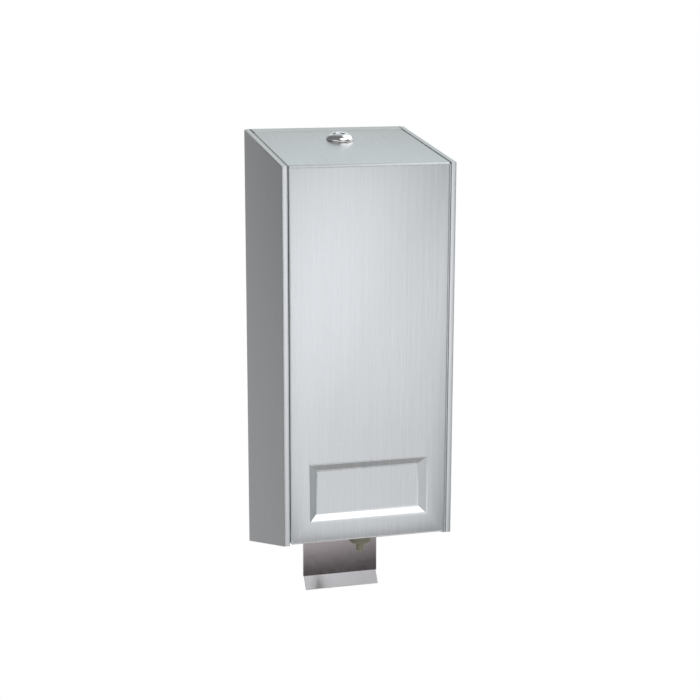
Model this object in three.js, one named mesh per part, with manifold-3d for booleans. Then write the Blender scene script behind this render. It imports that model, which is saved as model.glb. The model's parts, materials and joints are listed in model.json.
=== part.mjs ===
// Wall mounted soap dispenser, in millimetres. Origin: centre of the rear plate's back face.
// +Z is up, the front faces -Y, and the wall lies at y = 0.
import * as THREE from "three";
import { mergeVertices } from "three/addons/utils/BufferGeometryUtils.js";
import Module from "manifold-3d";

const wasm = await Module();
wasm.setup();

// Housing outline
const HALF_W = 57.5;
const DEPTH = 116;
const FRONT_TOP = 135.2;
const FRONT_BOTTOM = -113.85;
const HALF_H = 149.7;
const SHEET = 1.2;
const BEND_R = 1.8;
const TOP_SLOPE = Math.atan((HALF_H - FRONT_TOP) / DEPTH);
const BOTTOM_SLOPE = Math.atan((HALF_H + FRONT_BOTTOM) / DEPTH);
const RIM_W = 3.5;
const RIM_DEEP = 9;
const STEP_DEEP = 1.7;
const STEP_X = 53.45;
const REAR_GAP = 1.5;
const FLANGE_END = -9.9;

// Cover
const COVER_HALF_W = 53.15;
const COVER_BOTTOM = -113.3;
const COVER_END = -10.7;
const COVER_RETURN = 8;
const HINGE_Y = -112;
const HINGE_Z = -107.55;
const HINGE_PIN_R = 2;
const RECESS_HALF = 40.2;
const RECESS_LOW = -99.35;
const RECESS_HIGH = -59.65;
const RECESS_BEVEL = 5.2;
const RECESS_DEEP = 3.3;

// Lock
const LOCK_Y = -41;
const DOME_R = 9.6;
const DOME_RIM = 0.7;
const DOME_RISE = 4.7;
const DOME_POWER = 1.85;
const PLUG_R = 6;
const CAM_REACH = 33.5;
const STRIKE_Z = 137.1;

// Tank and shelf
const TANK_HALF_W = 47;
const TANK_FRONT = -104;
const TANK_BACK = -16;
const TANK_BASE = -55.5;
const TANK_TOP = 108;
const TANK_WALL = 2;
const MOUTH_Y = -66;
const SHELF_TOP = -55.85;
const SHELF_T = 1.5;
const SHELF_HALF_W = 50;

// Pump
const PUMP_Y = -94.9;
const BORE_Z = -83.85;
const BORE_R = 8;
const BORE_FRONT = -87;
const BORE_BACK = -59.3;
const NOZZLE_R = 7.6;
const NOZZLE_BOTTOM = -122.7;
const SPOUT_BOTTOM = -128.9;
const SPOUT_R = 2.8;

// Lever
const LEVER_HALF_W = 27;
const LEVER_FRONT = -42;
const LEVER_T = 1.4;
const PIN_Y = -36;
const PIN_Z = -99.85;
const PIN_R = 2.5;
const FOLD_Z = -164.9;
const LIP_HALF_W = 26.5;
const LIP_Y = -48.1;
const LIP_Z = -172.6;
const CHEEK_X = 30;

const STEEL = [0xc3c5c6, 0.35, 0.95];
const ZINC = [0xb4b7ba, 0.45, 0.85];
const CHROME = [0xe6e8ea, 0.08, 1];
const WHITE_PE = [0xe9ebe6, 0.4, 0];
const CREAM = [0xb3ae8e, 0.45, 0];
const BLACK = [0x26282a, 0.6, 0];
const GREY = [0x8b8f92, 0.5, 0];
const SILICONE = [0xd8d4c4, 0.55, 0];

const group = new THREE.Group();

function add(name, body, [color, roughness, metalness]) {
  const data = body.getMesh();
  const geometry = new THREE.BufferGeometry();
  geometry.setAttribute("position", new THREE.BufferAttribute(data.vertProperties, 3));
  geometry.setIndex(new THREE.BufferAttribute(data.triVerts, 1));
  const flat = geometry.toNonIndexed();
  flat.computeVertexNormals();
  const material = new THREE.MeshStandardMaterial({ color, roughness, metalness });
  const mesh = new THREE.Mesh(flat, material);
  mesh.name = name;
  group.add(mesh);
}

function solid(source) {
  const bare = source.index ? source.toNonIndexed() : source;
  const holder = new THREE.BufferGeometry();
  holder.setAttribute("position", bare.getAttribute("position"));
  const merged = mergeVertices(holder, 1e-4);
  const triVerts = [];
  for (let i = 0; i < merged.index.count; i += 3) {
    const [a, b, c] = merged.index.array.slice(i, i + 3);
    if (a !== b && b !== c && c !== a) triVerts.push(a, b, c);
  }
  const vertProperties = merged.attributes.position.array;
  const build = (tris) =>
    new wasm.Manifold(new wasm.Mesh({ numProp: 3, vertProperties, triVerts: new Uint32Array(tris) }));
  const made = build(triVerts);
  if (made.volume() > 0) return made;
  const flipped = [];
  for (let i = 0; i < triVerts.length; i += 3) {
    flipped.push(triVerts[i], triVerts[i + 2], triVerts[i + 1]);
  }
  return build(flipped);
}

function extruded(points, depth) {
  const shape = new THREE.Shape(points.map(([u, v]) => new THREE.Vector2(u, v)));
  return new THREE.ExtrudeGeometry(shape, { depth, bevelEnabled: false });
}

// An outline of [y, z] pairs swept from x0 to x1.
function alongX(points, x0, x1) {
  const turn = new THREE.Matrix4().set(0, 0, 1, x0, 1, 0, 0, 0, 0, 1, 0, 0, 0, 0, 0, 1);
  return solid(extruded(points, x1 - x0).applyMatrix4(turn));
}

// An outline of [x, z] pairs swept from y0 to y1.
function alongY(points, y0, y1) {
  const turn = new THREE.Matrix4().set(1, 0, 0, 0, 0, 0, -1, y1, 0, 1, 0, 0, 0, 0, 0, 1);
  return solid(extruded(points, y1 - y0).applyMatrix4(turn));
}

// An outline of [x, y] pairs swept from z0 to z1.
function alongZ(points, z0, z1) {
  return solid(extruded(points, z1 - z0).translate(0, 0, z0));
}

function box(x0, x1, y0, y1, z0, z1) {
  const geometry = new THREE.BoxGeometry(x1 - x0, y1 - y0, z1 - z0);
  return solid(geometry.translate((x0 + x1) / 2, (y0 + y1) / 2, (z0 + z1) / 2));
}

// A profile of [radius, height] pairs turned about +Z.
function turned(profile, sides = 32) {
  const points = profile.map(([r, h]) => new THREE.Vector2(r, h));
  return new THREE.LatheGeometry(points, sides).rotateX(Math.PI / 2);
}

function turnedZ(profile, x, y, sides) {
  return solid(turned(profile, sides).translate(x, y, 0));
}

// Heights of the profile are y values.
function turnedY(profile, x, z, sides) {
  return solid(turned(profile, sides).rotateX(-Math.PI / 2).translate(x, 0, z));
}

// Heights of the profile are x values.
function turnedX(profile, y, z, sides) {
  return solid(turned(profile, sides).rotateY(Math.PI / 2).translate(0, y, z));
}

function rod(r, low, high) {
  return [[0, low], [r, low], [r, high], [0, high]];
}

function ring(inner, outer, low, high) {
  return [[inner, low], [outer, low], [outer, high], [inner, high], [inner, low]];
}

function cord(mean, r, at, steps = 10) {
  const points = [];
  for (let i = 0; i <= steps; i += 1) {
    const a = (2 * Math.PI * (i % steps)) / steps;
    points.push([mean + r * Math.cos(a), at + r * Math.sin(a)]);
  }
  return points;
}

// Corners given as [u, v, radius]; a radius rounds its corner.
function rounded(corners, steps = 4) {
  const out = [];
  corners.forEach(([u, v, r], i) => {
    if (!r) {
      out.push([u, v]);
      return;
    }
    const p = new THREE.Vector2(u, v);
    const before = corners[(i + corners.length - 1) % corners.length];
    const after = corners[(i + 1) % corners.length];
    const a = new THREE.Vector2(before[0], before[1]).sub(p).normalize();
    const b = new THREE.Vector2(after[0], after[1]).sub(p).normalize();
    const half = Math.acos(a.dot(b)) / 2;
    const middle = a.clone().add(b).normalize().multiplyScalar(r / Math.sin(half)).add(p);
    const from = a.clone().multiplyScalar(r / Math.tan(half)).add(p).sub(middle);
    const to = b.clone().multiplyScalar(r / Math.tan(half)).add(p).sub(middle);
    const start = Math.atan2(from.y, from.x);
    let sweep = Math.atan2(to.y, to.x) - start;
    if (sweep > Math.PI) sweep -= 2 * Math.PI;
    if (sweep < -Math.PI) sweep += 2 * Math.PI;
    for (let k = 0; k <= steps; k += 1) {
      const t = start + (sweep * k) / steps;
      out.push([middle.x + r * Math.cos(t), middle.y + r * Math.sin(t)]);
    }
  });
  return out;
}

function circle(u, v, r, sides = 24) {
  const points = [];
  for (let i = 0; i < sides; i += 1) {
    const a = (2 * Math.PI * i) / sides;
    points.push([u + r * Math.cos(a), v + r * Math.sin(a)]);
  }
  return points;
}

function rect(u0, u1, v0, v1) {
  return [[u0, v0], [u1, v0], [u1, v1], [u0, v1]];
}

function topZ(y, inset = 0) {
  return FRONT_TOP + (y + DEPTH) * Math.tan(TOP_SLOPE) - inset / Math.cos(TOP_SLOPE);
}

function bottomZ(y, inset = 0) {
  return FRONT_BOTTOM - (y + DEPTH) * Math.tan(BOTTOM_SLOPE) + inset / Math.cos(BOTTOM_SLOPE);
}

// The band of the front-and-top fold between two depths below the skin.
function fold(near, far, low, end, bend, farBend = 0) {
  const front = -DEPTH + near;
  const back = -DEPTH + far;
  return rounded([
    [front, low],
    [back, low],
    [back, topZ(back, far), farBend],
    [end, topZ(end, far)],
    [end, topZ(end, near)],
    [front, topZ(front, near), bend],
  ]);
}

// Carries a body from the lock's frame, whose +Z is the top's normal, to its place.
function onTop(profile, sides) {
  return solid(turned(profile, sides).rotateX(TOP_SLOPE).translate(0, LOCK_Y, topZ(LOCK_Y)));
}

function onTopOutline(points, z0, z1) {
  const geometry = extruded(points, z1 - z0).translate(0, 0, z0);
  return solid(geometry.rotateX(TOP_SLOPE).translate(0, LOCK_Y, topZ(LOCK_Y)));
}

function screw(name, x, z, head) {
  const profile = [
    [0, -0.2],
    [1.7, -0.2],
    [1.7, head],
    [3.6, head],
    [3.4, head - 1.1],
    [2.2, head - 2],
    [0, head - 2.2],
  ];
  const slot = box(x - 2.2, x + 2.2, head - 3, head - 1.3, z - 0.4, z + 0.4);
  add(name, turnedY(profile, x, z, 20).subtract(slot), ZINC);
}

function screwHole(x, z) {
  return turnedY(rod(1.95, -5, 1), x, z, 20);
}

// Housing
const bracketScrews = [[-38, -80], [38, -80], [-38, -97], [38, -97]];
const shelfScrews = [[-42, -64], [42, -64]];
const strikeScrews = [[-9, 127], [9, 127]];
const wallHoles = [[-36, 122], [36, 122], [-36, -128], [36, -128]];

let rear = box(-56, 56, -SHEET, 0, bottomZ(0, 1.3), topZ(-SHEET, 0) - 0.02);
const flange = [
  [-SHEET, topZ(-SHEET) - 0.02],
  [FLANGE_END, topZ(FLANGE_END)],
  [FLANGE_END, topZ(FLANGE_END) - 5],
  [FLANGE_END + SHEET, topZ(FLANGE_END) - 5],
  [FLANGE_END + SHEET, topZ(FLANGE_END + SHEET, SHEET)],
  [-SHEET / 2, topZ(-SHEET, SHEET)],
  [-SHEET / 2, topZ(-SHEET) - 0.02],
];
rear = rear.add(alongX(flange, -COVER_HALF_W, COVER_HALF_W));
for (const side of [-1, 1]) {
  const inner = side * 54.8;
  const outer = side * 56;
  const low = Math.min(inner, outer);
  rear = rear.add(box(low, low + SHEET, -12, -SHEET / 2, -136, 135));
}
for (const [x, z] of wallHoles) {
  rear = rear.subtract(alongY(circle(x, z, 3), -3, 1));
}
for (const [x, z] of [...bracketScrews, ...shelfScrews, ...strikeScrews]) {
  rear = rear.subtract(screwHole(x, z));
}
add("rear_plate", rear, STEEL);

function sidePanel(side) {
  const span = (a, b) => (side > 0 ? [a, b] : [-b, -a]);
  const outline = rounded([
    [-DEPTH, FRONT_BOTTOM],
    [-DEPTH, FRONT_TOP, 0.4],
    [0, HALF_H],
    [0, -HALF_H],
  ]);
  const step = [
    [-DEPTH + STEP_DEEP, bottomZ(-DEPTH + STEP_DEEP)],
    [-DEPTH + STEP_DEEP, topZ(-DEPTH + STEP_DEEP, STEP_DEEP)],
    [0, topZ(0, STEP_DEEP)],
    [0, -HALF_H],
  ];
  const inside = (depth) => [
    [-DEPTH + depth, -200],
    [-DEPTH + depth, topZ(-DEPTH + depth, depth)],
    [1, topZ(1, depth)],
    [1, -200],
  ];
  const skin = HALF_W - SHEET;
  const inner = HALF_W - RIM_W;
  let body = alongX(outline, ...span(inner, HALF_W));
  body = body.add(alongX(step, ...span(STEP_X, inner + SHEET)));
  body = body.subtract(alongX(inside(RIM_DEEP), ...span(inner - 1, skin)));
  body = body.subtract(alongX(inside(SHEET), ...span(inner + SHEET, skin)));
  body = body.subtract(alongX(rect(-REAR_GAP, 2, -200, 200), ...span(inner - 1, skin)));
  const hole = turnedX(rod(HINGE_PIN_R + 0.05, ...span(inner - 1, skin - 0.3)), HINGE_Y, HINGE_Z, 24);
  return body.subtract(hole);
}
add("left_side_panel", sidePanel(-1), STEEL);
add("right_side_panel", sidePanel(1), STEEL);

// Sloped bottom plate
const PLATE_FRONT = -105.2;
const slope = (y, inset) => [y, bottomZ(y, inset)];
const plateOutline = [
  slope(PLATE_FRONT, 1),
  slope(-1.6, 1),
  slope(-1.6, 1 + SHEET),
  slope(PLATE_FRONT + SHEET, 1 + SHEET),
  [PLATE_FRONT + SHEET, bottomZ(PLATE_FRONT, 1) + 6],
  [PLATE_FRONT, bottomZ(PLATE_FRONT, 1) + 6],
];
let bottom = alongX(plateOutline, -56, 56);
for (const low of [-56, 56 - SHEET]) {
  const wall = [slope(PLATE_FRONT, 1.3), slope(-13, 1.3), slope(-13, 9), slope(PLATE_FRONT, 9)];
  bottom = bottom.add(alongX(wall, low, low + SHEET));
}
const notchEnd = PUMP_Y + 9.6;
const notch = rounded([[-9.6, -120], [9.6, -120], [9.6, notchEnd, 9.5], [-9.6, notchEnd, 9.5]], 10);
bottom = bottom.subtract(alongZ(notch, -135, -100));
bottom = bottom.subtract(box(-29, 29, -43.2, -27, -160, -100));
add("bottom_plate", bottom, STEEL);

// Strike for the cam
const strikeOutline = [
  [-1.3, 121],
  [-1.3, STRIKE_Z + 1.4],
  [-9.5, STRIKE_Z + 1.4],
  [-9.5, STRIKE_Z],
  [-2.7, STRIKE_Z],
  [-2.7, 121],
];
let strike = alongX(strikeOutline, -15, 15);
for (const [x, z] of strikeScrews) {
  strike = strike.subtract(screwHole(x, z));
}
add("strike_bracket", strike, ZINC);
strikeScrews.forEach(([x, z], i) => screw("strike_screw_" + (i + 1), x, z, -2.9));

const padTop = topZ(FLANGE_END) - 1.1;
for (const [word, side] of [["left", -1], ["right", 1]]) {
  const at = (a, b) => (side > 0 ? [a, b] : [-b, -a]);
  const pin = turnedX(rod(HINGE_PIN_R, ...at(50.2, 55.9)), HINGE_Y, HINGE_Z, 24);
  add("hinge_pin_" + word, pin, ZINC);
  const pad = box(...at(24, 38), FLANGE_END - 0.45, FLANGE_END - 0.02, padTop - 3.3, padTop);
  add("cover_pad_" + word, pad, BLACK);
}

// Tank shelf
const shelfLow = SHELF_TOP - SHELF_T;
let shelf = box(-SHELF_HALF_W, SHELF_HALF_W, -105, -1.4, shelfLow, SHELF_TOP);
shelf = shelf.add(box(-SHELF_HALF_W, SHELF_HALF_W, -2.7, -1.4, -70, shelfLow + 0.5));
for (const low of [-SHELF_HALF_W, SHELF_HALF_W - SHEET]) {
  shelf = shelf.add(box(low, low + SHEET, -105, -3.2, shelfLow - 7, shelfLow + 0.5));
}
shelf = shelf.add(box(-SHELF_HALF_W, SHELF_HALF_W, -105, -103.8, shelfLow - 5, shelfLow + 0.5));
shelf = shelf.subtract(turnedZ(rod(9.3, -60, -50), 0, PUMP_Y, 32));
shelf = shelf.subtract(box(-13.4, 13.4, -110, -100, -75, shelfLow));
for (const [x, z] of shelfScrews) {
  shelf = shelf.subtract(screwHole(x, z));
}
add("tank_shelf", shelf, ZINC);
shelfScrews.forEach(([x, z], i) => screw("shelf_screw_" + (i + 1), x, z, -2.9));

// Pump bracket: a cross web, two cheeks and four feet
const cheek = [
  [-66, -58.6],
  [-3.2, -58.6],
  [-3.2, -73],
  [-1.4, -73],
  [-1.4, -104],
  [-22, -104],
  [-29, -108],
  [-43, -108],
  [-66, -96],
];
let bracket = box(-CHEEK_X - 1.5, CHEEK_X + 1.5, -66, -64.5, -96, -66);
for (const low of [-CHEEK_X - 1.5, CHEEK_X]) {
  bracket = bracket.add(alongX(cheek, low, low + 1.5));
}
bracket = bracket.add(box(CHEEK_X + 1, 46, -2.7, -1.4, -104, -73));
bracket = bracket.add(box(-46, -CHEEK_X - 1, -2.7, -1.4, -104, -73));
bracket = bracket.subtract(turnedY(rod(10.4, -70, -60), 0, BORE_Z, 32));
bracket = bracket.subtract(turnedX(rod(PIN_R + 0.05, -40, 40), PIN_Y, PIN_Z, 24));
for (const [x, z] of bracketScrews) {
  bracket = bracket.subtract(screwHole(x, z));
}
add("pump_bracket", bracket, ZINC);
bracketScrews.forEach(([x, z], i) => screw("bracket_screw_" + (i + 1), x, z, -2.9));

// Tank: a tub with a neck below, and a welded top plate with the filler mouth
function tankBlock(inset, low, high, r) {
  const x = TANK_HALF_W - inset;
  const y0 = TANK_FRONT + inset;
  const y1 = TANK_BACK - inset;
  return alongZ(rounded([[-x, y0, r], [x, y0, r], [x, y1, r], [-x, y1, r]], 3), low, high);
}
const seam = TANK_TOP - TANK_WALL;
let tank = tankBlock(0, TANK_BASE, seam - 0.1, 8);
tank = tank.add(turnedZ(rod(8.6, -66, TANK_BASE + 1), 0, PUMP_Y, 32));
tank = tank.subtract(tankBlock(TANK_WALL, TANK_BASE + TANK_WALL, seam + 5, 6));
tank = tank.subtract(turnedZ(rod(6.4, -67, TANK_BASE + 3), 0, PUMP_Y, 32));
add("soap_tank", tank, WHITE_PE);

let tankTop = tankBlock(-0.9, seam, TANK_TOP, 8.9);
tankTop = tankTop.add(turnedZ(rod(22, TANK_TOP - 1, 115), 0, MOUTH_Y, 24));
tankTop = tankTop.subtract(turnedZ(rod(19.6, seam - 3, 116), 0, MOUTH_Y, 24));
add("tank_top", tankTop, WHITE_PE);

const lidProfile = [
  [0, 116.4],
  [22.5, 116.4],
  [22.5, 108.6],
  [24.4, 108.6],
  [24.4, 117.6],
  [23.4, 118.6],
  [0, 118.6],
];
let lid = turnedZ(lidProfile, 0, MOUTH_Y, 48);
for (let i = 0; i < 16; i += 1) {
  const a = (2 * Math.PI * i) / 16;
  const groove = rod(1.1, 107, 120);
  lid = lid.subtract(turnedZ(groove, 25.1 * Math.cos(a), MOUTH_Y + 25.1 * Math.sin(a), 8));
}
add("tank_lid", lid, GREY);
add("lid_seal", turnedZ(ring(19.9, 21.9, 115.1, 116.2), 0, MOUTH_Y, 40), SILICONE);
add("tank_seal", turnedZ(ring(6.3, 8.3, -67.2, -66.2), 0, PUMP_Y, 32), SILICONE);

const nutProfile = [
  [8.9, -58.2],
  [8.9, -69.6],
  [7.3, -69.6],
  [7.3, -71.5],
  [12, -71.5],
  [12, -58.2],
  [8.9, -58.2],
];
let nut = turnedZ(nutProfile, 0, PUMP_Y, 32);
for (let i = 0; i < 12; i += 1) {
  const a = (2 * Math.PI * i) / 12;
  nut = nut.subtract(turnedZ(rod(0.9, -73, -57), 12.3 * Math.cos(a), PUMP_Y + 12.3 * Math.sin(a), 8));
}
add("union_nut", nut, GREY);

// Pump
const pumpProfile = [
  [0, -67.4],
  [8.3, -67.4],
  [8.3, -69.3],
  [7, -69.3],
  [7, -73],
  [10, -74],
  [10, -96],
  [8, -99],
  [5.4, -100.5],
  [5.4, -106],
  [4.2, -106],
  [4.2, -108],
  [5.4, -108],
  [5.4, -116],
  [0, -116],
];
let pump = turnedZ(pumpProfile, 0, PUMP_Y, 32);
pump = pump.add(turnedY(rod(10, PUMP_Y, BORE_BACK), 0, BORE_Z, 32));
pump = pump.add(turnedY(rod(12, -68.2, -66.3), 0, BORE_Z, 32));
const pumpBore = [
  [0, -60],
  [5.6, -60],
  [5.6, -71],
  [3.6, -71],
  [3.6, -97],
  [3.2, -98],
  [3.2, -120],
  [0, -120],
];
pump = pump.subtract(turnedZ(pumpBore, 0, PUMP_Y, 24));
pump = pump.subtract(turnedY(rod(BORE_R, BORE_FRONT, -50), 0, BORE_Z, 32));
pump = pump.subtract(turnedY(rod(3, PUMP_Y, BORE_FRONT + 1), 0, BORE_Z, 20));
add("pump_body", pump, WHITE_PE);

// A valve with a round flange above and two flat lips below.
function duckbill(top, flangeR, bodyR, length) {
  const flangeLow = top - 1.1;
  const low = flangeLow - length;
  const from = PUMP_Y - 9;
  const to = PUMP_Y + 9;
  const profile = [
    [0, top],
    [flangeR, top],
    [flangeR, flangeLow],
    [bodyR, flangeLow],
    [bodyR, low],
    [0, low],
  ];
  let body = turnedZ(profile, 0, PUMP_Y, 20);
  for (const side of [-1, 1]) {
    const taper = [
      [side * (bodyR + 1), low - 1],
      [side * 0.5, low - 1],
      [side * (bodyR + 1), flangeLow - 1.5],
    ];
    body = body.subtract(alongY(taper, from, to));
  }
  const slit = [
    [-2, flangeLow],
    [-0.3, low + 2],
    [0.3, low + 2],
    [2, flangeLow],
    [2, top + 1],
    [-2, top + 1],
  ];
  const bore = turnedZ(rod(bodyR - 0.9, low + 2, top + 1), 0, PUMP_Y, 16);
  return body.subtract(bore.intersect(alongY(slit, from, to)));
}
add("inlet_valve", duckbill(-69.6, 5.3, 3.2, 6.5), SILICONE);
add("outlet_valve", duckbill(-116.2, 5.3, 3, 3.6), SILICONE);

const nozzleProfile = [
  [5.7, -101.2],
  [NOZZLE_R, -101.2],
  [NOZZLE_R, NOZZLE_BOTTOM + 1.2],
  [NOZZLE_R - 0.4, NOZZLE_BOTTOM + 0.5],
  [NOZZLE_R - 1.2, NOZZLE_BOTTOM],
  [SPOUT_R, NOZZLE_BOTTOM - 0.3],
  [SPOUT_R, SPOUT_BOTTOM + 0.3],
  [SPOUT_R - 0.3, SPOUT_BOTTOM],
  [1.9, SPOUT_BOTTOM],
  [1.9, -122.2],
  [3.5, -121.2],
  [3.5, -117.5],
  [5.7, -117.5],
  [5.7, -101.2],
];
add("nozzle", turnedZ(nozzleProfile, 0, PUMP_Y, 40), CREAM);
add("nozzle_seal", turnedZ(cord(4.95, 0.62, -107), 0, PUMP_Y, 28), BLACK);

const glandProfile = [
  [10.3, -64.2],
  [12.5, -64.2],
  [12.5, -57.6],
  [11.8, -56.9],
  [3.8, -56.9],
  [3.8, -59],
  [10.3, -59],
  [10.3, -64.2],
];
let gland = turnedY(glandProfile, 0, BORE_Z, 32);
for (let i = 0; i < 12; i += 1) {
  const a = (2 * Math.PI * i) / 12;
  gland = gland.subtract(turnedY(rod(0.9, -66, -55), 12.8 * Math.cos(a), BORE_Z + 12.8 * Math.sin(a), 8));
}
add("piston_gland", gland, GREY);

// Piston, its seal and its return spring
const pistonProfile = [
  [0, -76],
  [7.2, -76],
  [7.7, -75.5],
  [7.7, -74.4],
  [6.2, -74.4],
  [6.2, -72.6],
  [7.7, -72.6],
  [7.7, -70],
  [3.5, -70],
  [3.5, -46.5],
  [7, -46.5],
  [7, -45],
  [3.5, -44.6],
  [3.5, -43.73],
  [2.6, -43.03],
  [1.35, -42.49],
  [0, -42.3],
];
add("piston", turnedY(pistonProfile, 0, BORE_Z, 32), GREY);
add("piston_seal", turnedY(cord(7.05, 0.72, -73.5), 0, BORE_Z, 32), BLACK);

class Coil extends THREE.Curve {
  getPoint(t) {
    const a = 2 * Math.PI * 4 * t;
    return new THREE.Vector3(5.15 * Math.cos(a), -56.1 + 8.8 * t, BORE_Z + 5.15 * Math.sin(a));
  }
}
const wire = new THREE.Shape(circle(0, 0, 0.42, 6).map(([u, v]) => new THREE.Vector2(u, v)));
const coil = new THREE.ExtrudeGeometry(wire, { steps: 64, extrudePath: new Coil(), bevelEnabled: false });
add("piston_spring", solid(coil), ZINC);

// Lever
const lipOut = new THREE.Vector2(LIP_Y - LEVER_FRONT, LIP_Z - FOLD_Z).normalize();
const lipIn = new THREE.Vector2(-lipOut.y, lipOut.x);
const lipBack = [LIP_Y + lipIn.x * LEVER_T, LIP_Z + lipIn.y * LEVER_T];
const lipTilt = Math.atan2(-lipOut.x, -lipOut.y);
const foldBack = (LEVER_T * (1 - Math.sin(lipTilt))) / Math.cos(lipTilt);
const plate = rounded([
  [LEVER_FRONT, -104],
  [LEVER_FRONT, FOLD_Z, 0.5],
  [LIP_Y, LIP_Z],
  lipBack,
  [LEVER_FRONT + LEVER_T, FOLD_Z - foldBack, 2.2],
  [LEVER_FRONT + LEVER_T, -104],
]);
let lever = alongX(plate, -LEVER_HALF_W, LEVER_HALF_W);
for (const side of [-1, 1]) {
  const [from, to] = side > 0 ? [LIP_HALF_W, 40] : [-40, -LIP_HALF_W];
  lever = lever.subtract(box(from, to, -60, -30, -180, FOLD_Z));
}
const ear = rounded([
  [LEVER_FRONT, -122],
  [LEVER_FRONT, -93.5, 3],
  [-30, -93.5, 5],
  [-30, -106, 5],
  [LEVER_FRONT + LEVER_T, -122],
]);
for (const low of [-LEVER_HALF_W, LEVER_HALF_W - LEVER_T]) {
  lever = lever.add(alongX(ear, low, low + LEVER_T));
}
const tongue = rounded([[-9, -106], [9, -106], [9, -75, 3], [-9, -75, 3]]);
lever = lever.add(alongY(tongue, LEVER_FRONT, LEVER_FRONT + LEVER_T));
lever = lever.subtract(turnedX(rod(PIN_R + 0.08, -40, 40), PIN_Y, PIN_Z, 24));
add("push_lever", lever, STEEL);

const pinProfile = [
  [0, -34],
  [PIN_R - 0.3, -34],
  [PIN_R, -33.7],
  [PIN_R, -33],
  [2, -33],
  [2, -31.8],
  [PIN_R, -31.8],
  [PIN_R, 31.8],
  [2, 31.8],
  [2, 33],
  [PIN_R, 33],
  [PIN_R, 33.7],
  [PIN_R - 0.3, 34],
  [0, 34],
];
add("lever_pin", turnedX(pinProfile, PIN_Y, PIN_Z, 24), ZINC);
for (const [word, side] of [["left", -1], ["right", 1]]) {
  const at = (a, b) => (side > 0 ? [a, b] : [-b, -a]);
  let clip = turnedX(ring(2.1, 4.6, ...at(32, 32.8)), PIN_Y, PIN_Z, 24);
  clip = clip.subtract(box(...at(31, 34), PIN_Y - 1.4, PIN_Y + 1.4, PIN_Z, PIN_Z + 8));
  add("lever_clip_" + word, clip, BLACK);
  const bush = turnedX(ring(PIN_R + 0.15, 4.4, ...at(27.3, 29.7)), PIN_Y, PIN_Z, 24);
  add("lever_bush_" + word, bush, WHITE_PE);
}

// Cover
function recess(grow, depth) {
  const edges = [
    [RECESS_HALF + grow, RECESS_LOW - grow, RECESS_HIGH + grow, -DEPTH - 1],
    [RECESS_HALF + grow, RECESS_LOW - grow, RECESS_HIGH + grow, -DEPTH + depth - RECESS_DEEP],
    [
      RECESS_HALF - RECESS_BEVEL + grow,
      RECESS_LOW + RECESS_BEVEL - grow,
      RECESS_HIGH - RECESS_BEVEL + grow,
      -DEPTH + depth,
    ],
  ];
  const corners = [];
  for (const [half, low, high, y] of edges) {
    corners.push([-half, y, low], [half, y, low], [half, y, high], [-half, y, high]);
  }
  const faces = [[0, 1, 2], [0, 2, 3], [8, 10, 9], [8, 11, 10]];
  for (const layer of [0, 4]) {
    for (let i = 0; i < 4; i += 1) {
      const j = (i + 1) % 4;
      faces.push([layer + i, layer + 4 + i, layer + 4 + j], [layer + i, layer + 4 + j, layer + j]);
    }
  }
  const geometry = new THREE.BufferGeometry();
  geometry.setAttribute("position", new THREE.Float32BufferAttribute(corners.flat(), 3));
  geometry.setIndex(faces.flat());
  return solid(geometry);
}
let cover = alongX(fold(0, COVER_RETURN, COVER_BOTTOM, COVER_END, BEND_R), -COVER_HALF_W, COVER_HALF_W);
const hollow = fold(SHEET, COVER_RETURN + 2, COVER_BOTTOM + SHEET, COVER_END - SHEET, 0.6);
cover = cover.subtract(alongX(hollow, -COVER_HALF_W + SHEET, COVER_HALF_W - SHEET));
const backing = recess(0.45, RECESS_DEEP + SHEET).subtract(box(-60, 60, -130, -DEPTH + 0.3, -120, 0));
cover = cover.add(backing);
cover = cover.subtract(recess(0, RECESS_DEEP));
cover = cover.subtract(onTop(rod(7.9, -5, 5), 32));
for (const [a, b] of [[-54, -51], [51, 54]]) {
  cover = cover.subtract(turnedX(rod(HINGE_PIN_R + 0.08, a, b), HINGE_Y, HINGE_Z, 24));
}
add("cover", cover, STEEL);

// Cam lock
function crown(r) {
  return DOME_RIM + DOME_RISE * (1 - (r / DOME_R) ** DOME_POWER) ** (1 / DOME_POWER);
}
function cap(from, to, steps) {
  const points = [];
  for (let i = 0; i <= steps; i += 1) {
    const r = from + (to - from) * (i / steps) ** 2;
    points.push([r, crown(r)]);
  }
  return points;
}
const bodyProfile = [
  [PLUG_R + 0.15, -11.8],
  [7.6, -11.8],
  [7.6, 0.1],
  [DOME_R, 0.1],
  ...cap(DOME_R, PLUG_R + 0.15, 8),
  [PLUG_R + 0.15, -11.8],
];
add("lock_body", onTop(bodyProfile, 40), CHROME);
add("lock_washer", onTop(ring(7.8, 10, -2.1, -1.4), 32), ZINC);
const hexagon = circle(0, 0, 11, 6);
const lockNut = onTopOutline(hexagon, -5.4, -2.3).subtract(onTop(rod(7.8, -7, 0), 32));
add("lock_nut", lockNut, ZINC);
const plugProfile = [[0, -12.6], [PLUG_R, -12.6], ...cap(PLUG_R, 0, 6)];
let plug = onTop(plugProfile, 36);
plug = plug.subtract(onTopOutline(circle(-4.4, -1.75, 1, 16), 3.6, 8));
const keyWay = [[-2, -2.6], [0.4, -4.7], [1.6, -4.4], [3.2, -2.8], [1, -3.1]];
plug = plug.subtract(onTopOutline(keyWay, 3.4, 8));
plug = plug.subtract(onTop(rod(1.3, -14, -6), 16));
add("lock_plug", plug, CHROME);
const camOutline = rounded([
  [-6.5, -6, 5.5],
  [4, -6, 3],
  [CAM_REACH, -4.2, 2],
  [CAM_REACH, 4.2, 2],
  [4, 6, 3],
  [-6.5, 6, 5.5],
]);
const cam = onTopOutline(camOutline, -14.9, -12.9).subtract(onTop(rod(1.9, -20, 0), 16));
add("lock_cam", cam, ZINC);
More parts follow.
